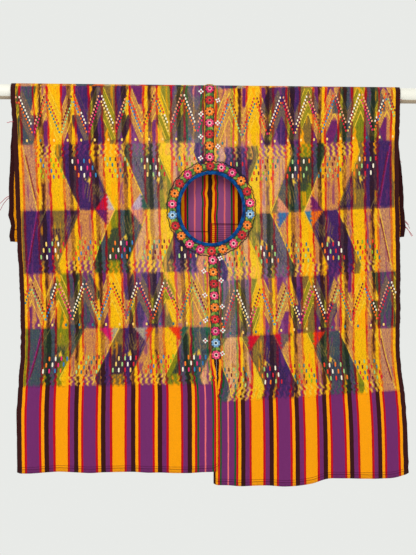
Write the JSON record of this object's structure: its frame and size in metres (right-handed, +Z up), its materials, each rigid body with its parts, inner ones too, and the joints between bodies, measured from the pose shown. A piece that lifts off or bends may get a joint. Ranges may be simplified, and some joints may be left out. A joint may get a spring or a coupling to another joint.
{
  "type": "huipil blouse on a hanging pole",
  "caption": "Striped hand-woven huipil blouse of two panels, with an embroidered round neck and centre seam, hung over a straight round pole.",
  "frame": {"origin": "middle of the pole, on its axis, which is where the part is held", "axes": "+X along the pole, to the right as seen from the front; -Y to the front of the blouse; +Z up"},
  "size_m": [1.1, 0.0481, 0.926],
  "materials": {
    "cloth": "warp-striped cotton with supplementary-weft brocade",
    "binding": "royal blue velvet tape",
    "stitching": "glossy embroidery thread, satin stitch",
    "pole": "off-white satin paint"
  },
  "bodies": {
    "root": {"pole": "pole", "panel_left": "cloth", "panel_right": "cloth", "neck_binding": "binding", "neck_flower_band": "stitching", "seam_flowers_upper": "stitching", "seam_flowers_lower": "stitching"}
  },
  "joints": []
}
